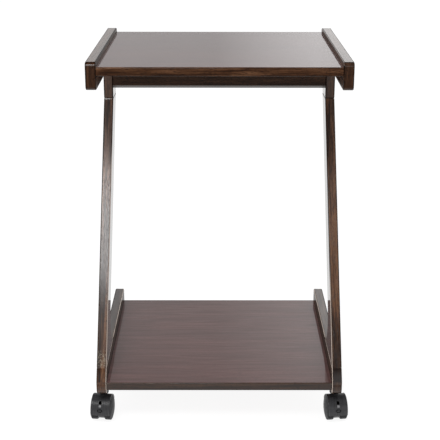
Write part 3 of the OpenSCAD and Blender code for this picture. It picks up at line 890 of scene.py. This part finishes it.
class TABLE_OT_top_rails(TableOperator):
    """Make the two top rails"""

    bl_idname = "table.top_rails"
    bl_label = "Top Rails"

    def execute(self, context):
        boards = context.scene.table_boards
        left = stained_wood("left_top_rail_face", ALONG_Y, 3.1, frame_tones(1.1, 0.02), gloss=0.9, coat=0.12)
        right = stained_wood("right_top_rail_face", ALONG_Y, 3.2, frame_tones(), gloss=0.5, coat=0.12)
        edge = stained_wood("top_rail_edge", ALONG_Y, 3.4, frame_tones(0.2), coat=0.2, weight=0.3,
                            relief=0.02)
        end = stained_wood("top_rail_end", ALONG_Z, 3.5, frame_tones(0.55), weight=0.8, relief=0.02)
        side = stained_wood("top_rail_side", ALONG_Y, 3.7, frame_tones(0.8), coat=0.3, weight=0.5)
        outline = round_rectangle((RAIL_LOW.y, RAIL_LOW.z), (RAIL_HIGH.y, RAIL_HIGH.z),
                                  boards.top_rail_radius, boards.arc_steps)
        finishes = [[left, edge, side, end, edge], [right, edge, side, end, right]]
        frame_boards("top_rail", outline, finishes, boards.edge_ease, dark_ends=True)
        return {"FINISHED"}


class TABLE_OT_leg_heads(TableOperator):
    """Make the two short upright leg heads"""

    bl_idname = "table.leg_heads"
    bl_label = "Leg Heads"

    def execute(self, context):
        boards = context.scene.table_boards
        face = stained_wood("leg_head_face", ALONG_Z, 4.1, frame_tones(0.8, 0.03))
        edge = stained_wood("leg_head_edge", ALONG_Z, 4.4, frame_tones(0.25), weight=0.25, relief=0.02)
        for side in SIDES:
            low_x, high_x = side_range(side)
            corners = [(low_x, HEAD_LOW.y), (high_x, HEAD_LOW.y), (high_x, HEAD_HIGH.y), (low_x, HEAD_HIGH.y)]
            bm = bmesh.new()
            rings = bridge(bm, [[(x, y, z) for x, y in corners] for z in (HEAD_LOW.z, HEAD_HIGH.z)])
            bm.faces.new(reversed(rings[0]))
            bm.faces.new(rings[1])
            bmesh.ops.recalc_face_normals(bm, faces=bm.faces)
            ease_edges(bm, [bm.edges.get((rings[0][i], rings[1][i])) for i in range(4)], boards.edge_ease)
            ends = [e for e in sharp_edges(bm) if abs(e.verts[0].co.z - e.verts[1].co.z) < TINY]
            ease_edges(bm, ends, boards.head_ease, 2)
            made = finish_object(bm, f"{side}_leg_head_board", [face, edge])
            mount_piece(made, "root", [f"{side}_leg_head"])
        return {"FINISHED"}


class TABLE_OT_legs(TableOperator):
    """Make the two sloping legs, which widen in a hollow curve over the base rails"""

    bl_idname = "table.legs"
    bl_label = "Legs"

    def execute(self, context):
        boards = context.scene.table_boards
        outline = [(LEG_LOW.y, LEG_LOW.z)]
        outline += self.crease(boards)
        outline += [(HEAD_HIGH.y, LEG_HIGH.z)]
        outline += self.foot(boards)
        outline.reverse()
        edge = stained_wood("leg_edge", ALONG_LEG, 5.4, frame_tones(0.35), coat=0.15, weight=0.4)
        # Inner edges with a painted highlight along them, up to a height that differs left and right
        inner = [stained_wood(f"{name}_leg_inner_edge_highlight", ALONG_LEG, 5.4, frame_tones(0.35), coat=0.15,
                              weight=0.6, highlight_top=high)
                 for name, high in zip(SIDES, context.scene.table_wood.highlight_top)]
        side = stained_wood("leg_side", ALONG_LEG, 5.5, frame_tones(0.6), coat=0.04, relief=0.02)
        # The left leg's face carries the light flecks of a painted highlight low down
        left = stained_wood("left_leg_face", ALONG_LEG, 5.1, frame_tones(1.15), contrast=1.9, gloss=0.3,
                            coat=0.15, relief=0.6, glint=True)
        right = stained_wood("right_leg_face", ALONG_LEG, 5.8, frame_tones(0.95), contrast=2.1, gloss=0.1,
                             coat=0.15, relief=0.9)
        finishes = [[face, edge, side, face, highlighted] for face, highlighted in zip((left, right), inner)]
        frame_boards("leg", outline, finishes, boards.edge_ease)
        return {"FINISHED"}

    def crease(self, boards):
        """The hollow curve at the top of the front, from the slope of the leg towards upright."""
        radius = boards.crease_radius
        start = LEG_ANGLE
        end = LEG_ANGLE - boards.crease_turn
        drop = radius * (math.sin(start) - math.sin(end))
        foot = (HEAD_LOW.y - drop * math.tan(start), LEG_HIGH.z - drop)
        centre = (foot[0] - radius * math.cos(start), foot[1] + radius * math.sin(start))
        return arc(centre, radius, -math.degrees(start), -math.degrees(end), boards.arc_steps)

    def foot(self, boards):
        """The hollow curve between the back of the leg and the base rail."""
        radius = boards.foot_radius
        heel = LEG_LOW.y + LEG_DEPTH
        centre = (heel + radius / math.tan((math.pi / 2 - LEG_ANGLE) / 2), LEG_LOW.z + radius)
        start = 180 - math.degrees(LEG_ANGLE)
        end = 270 - math.degrees(math.asin(boards.foot_lip / radius))
        curve = arc(centre, radius, start, end, 3 * boards.arc_steps)
        return curve + [(centre[0] - boards.foot_lip, LEG_LOW.z)]


class TABLE_OT_base_rails(TableOperator):
    """Make the two base rails, each with a nose that is round below and slopes back above"""

    bl_idname = "table.base_rails"
    bl_label = "Base Rails"

    def execute(self, context):
        boards = context.scene.table_boards
        end_r, nose_r, steps = boards.base_rail_radius, boards.nose_radius, boards.arc_steps
        outline = arc((BASE_LOW.y + nose_r, BASE_LOW.z + nose_r), nose_r, 180, 270, 2 * steps)
        outline += arc((BASE_HIGH.y - end_r, BASE_LOW.z + end_r), end_r, 270, 360, steps)
        outline += arc((BASE_HIGH.y - end_r, BASE_HIGH.z - end_r), end_r, 0, 90, steps)
        outline += [(LEG_LOW.y, BASE_HIGH.z), (BASE_LOW.y, NOSE_TOP)]
        face = stained_wood("base_rail_face", ALONG_Y, 6.1, frame_tones(0.6, 0.02), gloss=0.5)
        edge = stained_wood("base_rail_edge", ALONG_Y, 6.4, frame_tones(0.35), coat=0.15, weight=0.4)
        # Inner edges with a painted highlight along them
        inner = stained_wood("base_rail_inner_edge_highlight", ALONG_Y, 6.4, frame_tones(0.35), weight=0.6,
                             highlight_top=BASE_HIGH.z)
        side = stained_wood("base_rail_side", ALONG_Y, 6.7, frame_tones(0.6), coat=0.12, weight=0.35)
        feet = [stained_wood(f"{name}_foot", ALONG_LEG, shift, frame_tones(tone), contrast=1.9, coat=0.15)
                for name, shift, tone in (("left", 5.1, 0.95), ("right", 5.8, 0.45))]
        noses = [stained_wood(f"{name}_nose", ALONG_Z, 6.3, frame_tones(tone, 0.006), contrast=0.8, coat=0.15)
                 for name, tone in (("left", 0.8), ("right", 0.4))]
        finishes = [[face, edge, side, foot, inner, nose] for foot, nose in zip(feet, noses)]
        frame_boards("base_rail", outline, finishes, boards.edge_ease)
        return {"FINISHED"}


class TABLE_OT_fasteners(TableOperator):
    """Finish the dowels, the connector bolts and the barrel nuts"""

    bl_idname = "table.fasteners"
    bl_label = "Fasteners"

    def execute(self, context):
        dress_nodes(["panel_dowels", "frame_dowels"], dowel_wood("beech"))
        dress_nodes(["connector_bolts", "barrel_nuts"], plated_steel("plated_fastener"))
        return {"FINISHED"}


class TABLE_OT_caster_fittings(TableOperator):
    """Finish the sockets, the stems and the axles of the casters"""

    bl_idname = "table.caster_fittings"
    bl_label = "Caster Fittings"

    def execute(self, context):
        dress_nodes([corner + "_socket" for corner in CORNERS],
                    moulded_plastic("socket_plastic", context.scene.table_fittings.socket_colour, 0.5))
        dress_nodes([corner + part for corner in CORNERS for part in ("_stem", "_axle")],
                    plated_steel("plated_stem"))
        return {"FINISHED"}


def caster_axes(corner):
    """A caster's own axes from its axle: X along it to the right, Y towards the swivel, and the trail."""
    axle = JOINT_PLACES[corner + "_outer_roll"]
    back = JOINT_PLACES[corner + "_swivel_turn"] - axle
    back.z = 0
    trail = back.length
    back.normalize()
    turn = Matrix((back.cross(ALONG_Z), back, ALONG_Z)).transposed().to_4x4()
    return Matrix.Translation(axle) @ turn, trail


def outward(angle):
    """Turns a shape drawn along X so that it points out of the hood at an angle up from the wheel side."""
    return Matrix.Rotation(math.pi - angle, 4, "X") @ Matrix.Rotation(math.pi / 2, 4, "Z")


def moved(bm, matrix):
    """The bmesh, moved by a matrix."""
    bmesh.ops.transform(bm, matrix=matrix, verts=bm.verts)
    return bm


def in_slot(bm, slot):
    """The bmesh, with all its faces in one material slot."""
    for face in bm.faces:
        face.material_index = slot
    return bm


def small_plate(width, height, radius):
    """Outline of a rectangle with round corners, centred on the origin."""
    return round_rectangle((-width / 2, -height / 2), (width / 2, height / 2), radius, 3)


def oval(width, height):
    """Outline of an oval with straight sides, wider than it is high, centred on the origin."""
    reach, radius = (width - height) / 2, height / 2
    return arc((reach, 0), radius, -90, 90, OVAL_STEPS) + arc((-reach, 0), radius, 90, 270, OVAL_STEPS)


class TABLE_OT_caster_hoods(TableOperator):
    """Make the four caster hoods, each with its web, collar, slot, tab and button"""

    bl_idname = "table.caster_hoods"
    bl_label = "Caster Hoods"

    def execute(self, context):
        look = context.scene.table_casters
        plastic = moulded_plastic("hood_plastic", look.hood_colour, 0.33, streak=0.75, gloss=0.4)
        # Near-black plastic for the insides of the slot and the groove: painted shade
        painted_shade = moulded_plastic("recess_shade_plastic", look.recess_shade_colour, 0.6, gloss=0.05)
        # The tab's lighter plastic is a painted highlight
        highlit = moulded_plastic("tab_highlight_plastic", look.tab_highlight_colour, 0.25, gloss=0.5)
        for corner in CORNERS:
            axes, trail = caster_axes(corner)
            bm = moved(self.hood(look, trail), axes)
            made = finish_object(bm, corner + "_hood_moulding", [plastic, painted_shade, highlit], MOULDED_LIMIT)
            mount_piece(made, corner + "_swivel", [corner + "_hood"])
        return {"FINISHED"}

    def hood(self, look, trail):
        """The whole hood, about its axle."""
        outer = WHEEL_RADIUS + look.hood_gap + look.hood_wall
        shell = self.shell(look, outer)
        web = lathe([(look.axle_bore, -look.web_half), (look.web_radius, -look.web_half),
                     (look.web_radius, look.web_half), (look.axle_bore, look.web_half)], look.turn_steps)
        moved(web, Matrix.Diagonal((WEB_SHARE, 1, 1, 1)))
        rims = [e for e in sharp_edges(web) if e.verts[0].co.yz.length > look.web_radius / 2]
        ease_edges(web, rims, 2 * look.moulded_edge, 3, 0)
        added = [web, self.boss(look, trail), self.tab(look, outer), self.button(look, outer)]
        solid = combine(shell, added, "UNION")
        bore = lathe([(0, -look.stem_floor), (look.stem_bore, -look.stem_floor),
                      (look.stem_bore, COLLAR_TOP), (0, COLLAR_TOP)], look.turn_steps // 2)
        moved(bore, Matrix.Translation((0, trail, 0)) @ Matrix.Rotation(-math.pi / 2, 4, "Y"))
        return combine(solid, [bore, self.slot(look, outer), self.groove(look, outer)], "DIFFERENCE")

    def shell(self, look, outer):
        """The wall over the wheels with the web under it, from the rear lip to the front lip."""
        half, inner = look.hood_width / 2, outer - look.hood_wall
        profile = [(look.axle_bore, -look.web_half), (inner, -look.web_half), (inner, -half), (outer, -half),
                   (outer, half), (inner, half), (inner, look.web_half), (look.axle_bore, look.web_half)]
        start = math.degrees(look.rear_lip)
        end = 180 + math.degrees(look.front_lip)
        bm = lathe(profile, look.turn_steps // 2, start, end)
        rims = [e for e in sharp_edges(bm) if max(v.co.yz.length for v in e.verts) > inner - NEAR]
        ease_edges(bm, rims, look.moulded_edge, 3, 0)
        return bm

    def boss(self, look, trail):
        """The boss and the collar that hold the stem."""
        boss_radius = look.web_half - look.moulded_edge / 2
        top = COLLAR_TOP - WHEEL_RADIUS
        step = top - look.collar_length
        profile = [(0, -look.boss_low), (boss_radius, -look.boss_low), (boss_radius, step),
                   (look.collar_radius, step), (look.collar_radius, top), (0, top)]
        bm = lathe(profile, look.turn_steps // 2)
        ease_edges(bm, sharp_edges(bm), look.moulded_edge, 2, 0)
        return moved(bm, Matrix.Translation((0, trail, 0)) @ Matrix.Rotation(-math.pi / 2, 4, "Y"))

    def tab(self, look, outer):
        """The small raised tab under the slot, in the lighter plastic of a painted highlight."""
        width, height, proud = look.tab_size
        bm = self.raised(look, outer, small_plate(width, height, 2 * look.moulded_edge), proud)
        return moved(in_slot(bm, 2), outward(look.tab_angle))

    def button(self, look, outer):
        """The oval button."""
        width, height, proud = look.button_size
        return moved(self.raised(look, outer, oval(width, height), proud), outward(look.button_angle))

    def raised(self, look, outer, outline, proud):
        """A shape that stands out of the hood's wall, with its outer rim eased."""
        bm, rims = prism(outline, outer - look.hood_wall / 2, outer + proud)
        ease_edges(bm, [e for e in rims if e.verts[0].co.x > outer], look.moulded_edge / 2, 3, 0)
        return bm

    def slot(self, look, outer):
        """What is cut out for the slot; its inner faces take the near-black plastic of painted shade."""
        width, height, depth = look.slot_size
        bm, _ = prism(small_plate(width, height, look.moulded_edge), outer - depth, outer + depth)
        return moved(in_slot(bm, 1), outward(look.slot_angle))

    def groove(self, look, outer):
        """What is cut out for the groove in the button; its inner faces take the near-black plastic of
        painted shade.
        """
        width, height, proud = look.button_size
        rim, groove, depth = look.groove_size
        low, high = outer + proud - depth, outer + proud + depth
        wide, narrow = [oval(width - 2 * inset, height - 2 * inset) for inset in (rim, rim + groove)]
        section = ((low, wide), (high, wide), (high, narrow), (low, narrow))
        bm = bmesh.new()
        bridge(bm, [[(x, y, z) for y, z in outline] for x, outline in section], closed=True)
        bmesh.ops.recalc_face_normals(bm, faces=bm.faces)
        return moved(in_slot(bm, 1), outward(look.button_angle))


class TABLE_OT_caster_wheels(TableOperator):
    """Make the eight caster wheels, domed outside and open and ribbed inside"""

    bl_idname = "table.caster_wheels"
    bl_label = "Caster Wheels"

    def execute(self, context):
        look = context.scene.table_casters
        plastic = moulded_plastic("wheel_plastic", look.wheel_colour, 0.42, streak=0.1, gloss=0.12)
        for corner in CORNERS:
            axes, _ = caster_axes(corner)
            for part in ("outer", "inner"):
                to_right = corner.endswith("right") == (part == "outer")
                turn = Matrix.Identity(4) if to_right else Matrix.Rotation(math.pi, 4, "Z")
                bm = moved(self.wheel(look), axes @ turn)
                made = finish_object(bm, f"{corner}_{part}_wheel_moulding", [plastic], MOULDED_LIMIT)
                mount_piece(made, f"{corner}_{part}_roller", [f"{corner}_{part}_wheel"])
        return {"FINISHED"}

    def wheel(self, look):
        """A wheel on the right of its caster, about the axle."""
        inside = WHEEL_RADIUS - look.rim_wall
        floor = look.wheel_in + look.recess_depth
        shoulder = look.tread_shoulder
        profile = [(0, look.wheel_bore_end), (look.wheel_bore, look.wheel_bore_end),
                   (look.wheel_bore, look.wheel_in), (look.hub_radius, look.wheel_in),
                   (look.hub_radius, floor), (inside, floor), (inside, look.wheel_in)]
        profile += arc((WHEEL_RADIUS - shoulder, look.wheel_in + shoulder), shoulder, 270, 360, 4)
        dome_steps = 14
        for i in range(dome_steps + 1):
            radius = WHEEL_RADIUS * (1 - i / dome_steps)
            sink = look.dome_radius - math.sqrt(look.dome_radius ** 2 - radius ** 2)
            profile.append((radius, look.wheel_out - sink))
        bm = lathe(profile, look.turn_steps)
        rim = [e for e in sharp_edges(bm) if min(v.co.x for v in e.verts) > floor
               and e.verts[0].co.yz.length > inside]
        ease_edges(bm, rim, look.tread_edge, 4, 0)
        turns = [2 * math.pi * i / look.ribs for i in range(look.ribs)]
        return combine(bm, [self.rib(look, inside, floor, turn) for turn in turns], "UNION")

    def rib(self, look, inside, floor, angle):
        """A rib between the hub and the rim."""
        bite = look.moulded_edge
        half = look.rib_thickness / 2
        outline = round_rectangle((look.hub_radius - bite, -half), (inside + bite, half), bite, 2)
        bm, _ = prism(outline, look.wheel_in + look.rib_setback, floor + bite)
        return moved(bm, Matrix.Rotation(angle, 4, "X"))


def soft_lamp(name, place, target, size, power):
    """A rectangular soft lamp that faces a point."""
    data = bpy.data.lights.new(name, "AREA")
    data.shape = "RECTANGLE"
    data.size, data.size_y = size
    data.energy = power
    made = bpy.data.objects.new(name, data)
    made.location = place
    made.rotation_euler = (Vector(target) - Vector(place)).to_track_quat("-Z", "Y").to_euler()
    bpy.context.scene.collection.objects.link(made)


def seen_rays(tree):
    """1 for rays from the camera and for gloss and glass, 0 for the rest."""
    path = add_node(tree, "LightPath").outputs
    seen = math_node(tree, "ADD", path["Is Camera Ray"], path["Is Glossy Ray"], clamp=True)
    return math_node(tree, "ADD", seen, path["Is Transmission Ray"], clamp=True)


class TABLE_OT_stage(TableOperator):
    """Make the pale floor, the white surroundings and the soft lamps"""

    bl_idname = "table.stage"
    bl_label = "Stage"

    def execute(self, context):
        studio = context.scene.table_studio
        bm = bmesh.new()
        bmesh.ops.create_grid(bm, x_segments=1, y_segments=1, size=studio.floor_size)
        floor = finish_object(bm, "floor", [self.floor_paint(studio)])
        self.surroundings(context, studio)
        soft_lamp("key_lamp", studio.key_place, studio.key_target, studio.key_size, studio.key_power)
        soft_lamp("fill_lamp", studio.fill_place, studio.fill_target, studio.fill_size, studio.fill_power)
        context.scene.view_settings.view_transform = "Standard"
        return {"FINISHED"}

    def floor_paint(self, studio):
        """Pale paint, which the camera sees as white with the table's shadow on it.

        Gloss sees it white from the table backwards, and dim in front.
        """
        made, tree, shader = new_material("floor_paint")
        shader.inputs["Base Color"].default_value = (*studio.floor_colour, 1)
        shader.inputs["Roughness"].default_value = 0.9
        shader.inputs["Specular IOR Level"].default_value = 0.0
        camera = add_node(tree, "LightPath").outputs["Is Camera Ray"]
        depth = add_node(tree, "SeparateXYZ", None, Vector=add_node(tree, "TexCoord").outputs["Object"])
        mirrored = map_range(tree, depth.outputs["Y"], *studio.floor_depths, studio.floor_dim, 1.0)
        strength = weighted_sum(tree, camera, studio.floor_white,
                                math_node(tree, "SUBTRACT", 1.0, camera), mirrored)
        white = add_node(tree, "Emission", None, Color=(1, 1, 1, 1), Strength=strength)
        shadow = add_node(tree, "BsdfDiffuse", None, Color=(*[studio.floor_shadow] * 3, 1))
        both = add_node(tree, "AddShader")
        tree.links.new(white.outputs[0], both.inputs[0])
        tree.links.new(shadow.outputs[0], both.inputs[1])
        seen = add_node(tree, "MixShader", None, Fac=seen_rays(tree))
        tree.links.new(shader.outputs[0], seen.inputs[1])
        tree.links.new(both.outputs[0], seen.inputs[2])
        tree.links.new(seen.outputs[0], tree.nodes["Material Output"].inputs["Surface"])
        return made

    def surroundings(self, context, studio):
        """Even soft light, and a white backdrop that the camera and the gloss see."""
        world = bpy.data.worlds.new("white_room")
        context.scene.world = world
        world.use_nodes = True
        tree = world.node_tree
        tree.nodes.clear()
        way = add_node(tree, "SeparateXYZ", None, Vector=add_node(tree, "TexCoord").outputs["Generated"])
        height = map_range(tree, way.outputs["Z"], *studio.high_starts, 1.0, studio.high_dim)
        side = map_range(tree, way.outputs["X"], *studio.left_ends, studio.left_dim, 1.0)
        mirrored = math_node(tree, "MULTIPLY", height, side)
        camera = add_node(tree, "LightPath").outputs["Is Camera Ray"]
        strength = math_node(tree, "MAXIMUM", mirrored, camera)
        room = add_node(tree, "Background", None, Color=(1, 1, 1, 1), Strength=studio.room_light)
        seen = add_node(tree, "Background", None, Color=(1, 1, 1, 1), Strength=strength)
        shown = add_node(tree, "MixShader", None, Fac=seen_rays(tree))
        tree.links.new(room.outputs[0], shown.inputs[1])
        tree.links.new(seen.outputs[0], shown.inputs[2])
        tree.links.new(shown.outputs[0], add_node(tree, "OutputWorld").inputs["Surface"])


class TABLE_OT_camera(TableOperator):
    """Set the camera at the picture's viewing angle"""

    bl_idname = "table.camera"
    bl_label = "Camera"

    def execute(self, context):
        studio = context.scene.table_studio
        data = bpy.data.cameras.new("camera")
        data.sensor_width = 36.0
        data.lens = studio.lens
        camera = bpy.data.objects.new("camera", data)
        turn = Matrix.Rotation(-studio.yaw, 4, "Z") @ Matrix.Rotation(math.pi / 2 - studio.pitch, 4, "X")
        camera.matrix_world = (Matrix.Translation(studio.camera_place) @ turn
                               @ Matrix.Rotation(studio.roll, 4, "Z"))
        context.scene.collection.objects.link(camera)
        context.scene.camera = camera
        return {"FINISHED"}


OPERATORS = (
    TABLE_OT_camera, TABLE_OT_stage, TABLE_OT_tabletop, TABLE_OT_shelf, TABLE_OT_apron, TABLE_OT_top_rails,
    TABLE_OT_leg_heads, TABLE_OT_legs, TABLE_OT_base_rails, TABLE_OT_fasteners, TABLE_OT_caster_fittings,
    TABLE_OT_caster_hoods, TABLE_OT_caster_wheels,
)


class TABLE_PT_sidebar(bpy.types.Panel):
    """The table's operators, in order"""

    bl_idname = "TABLE_PT_sidebar"
    bl_label = "Side Table"
    bl_space_type = "VIEW_3D"
    bl_region_type = "UI"
    bl_category = "Side Table"

    def draw(self, context):
        for operator in OPERATORS:
            self.layout.operator(operator.bl_idname)


GROUPS = {
    "table_boards": BoardSizes,
    "table_wood": WoodLook,
    "table_casters": CasterLook,
    "table_fittings": FittingLook,
    "table_studio": StudioSetup,
}


def register():
    """Registers the property groups, the operators and the panel."""
    for name, group in GROUPS.items():
        bpy.utils.register_class(group)
        setattr(bpy.types.Scene, name, PointerProperty(type=group))
    for shown in (*OPERATORS, TABLE_PT_sidebar):
        bpy.utils.register_class(shown)


def unregister():
    """Takes back what register added."""
    for shown in reversed((*OPERATORS, TABLE_PT_sidebar)):
        bpy.utils.unregister_class(shown)
    for name, group in reversed(GROUPS.items()):
        delattr(bpy.types.Scene, name)
        bpy.utils.unregister_class(group)


def main():
    """Builds the whole table."""
    register()
    for operator in OPERATORS:
        group, name = operator.bl_idname.split(".")
        getattr(getattr(bpy.ops, group), name)()


if __name__ == "__main__":
    main()
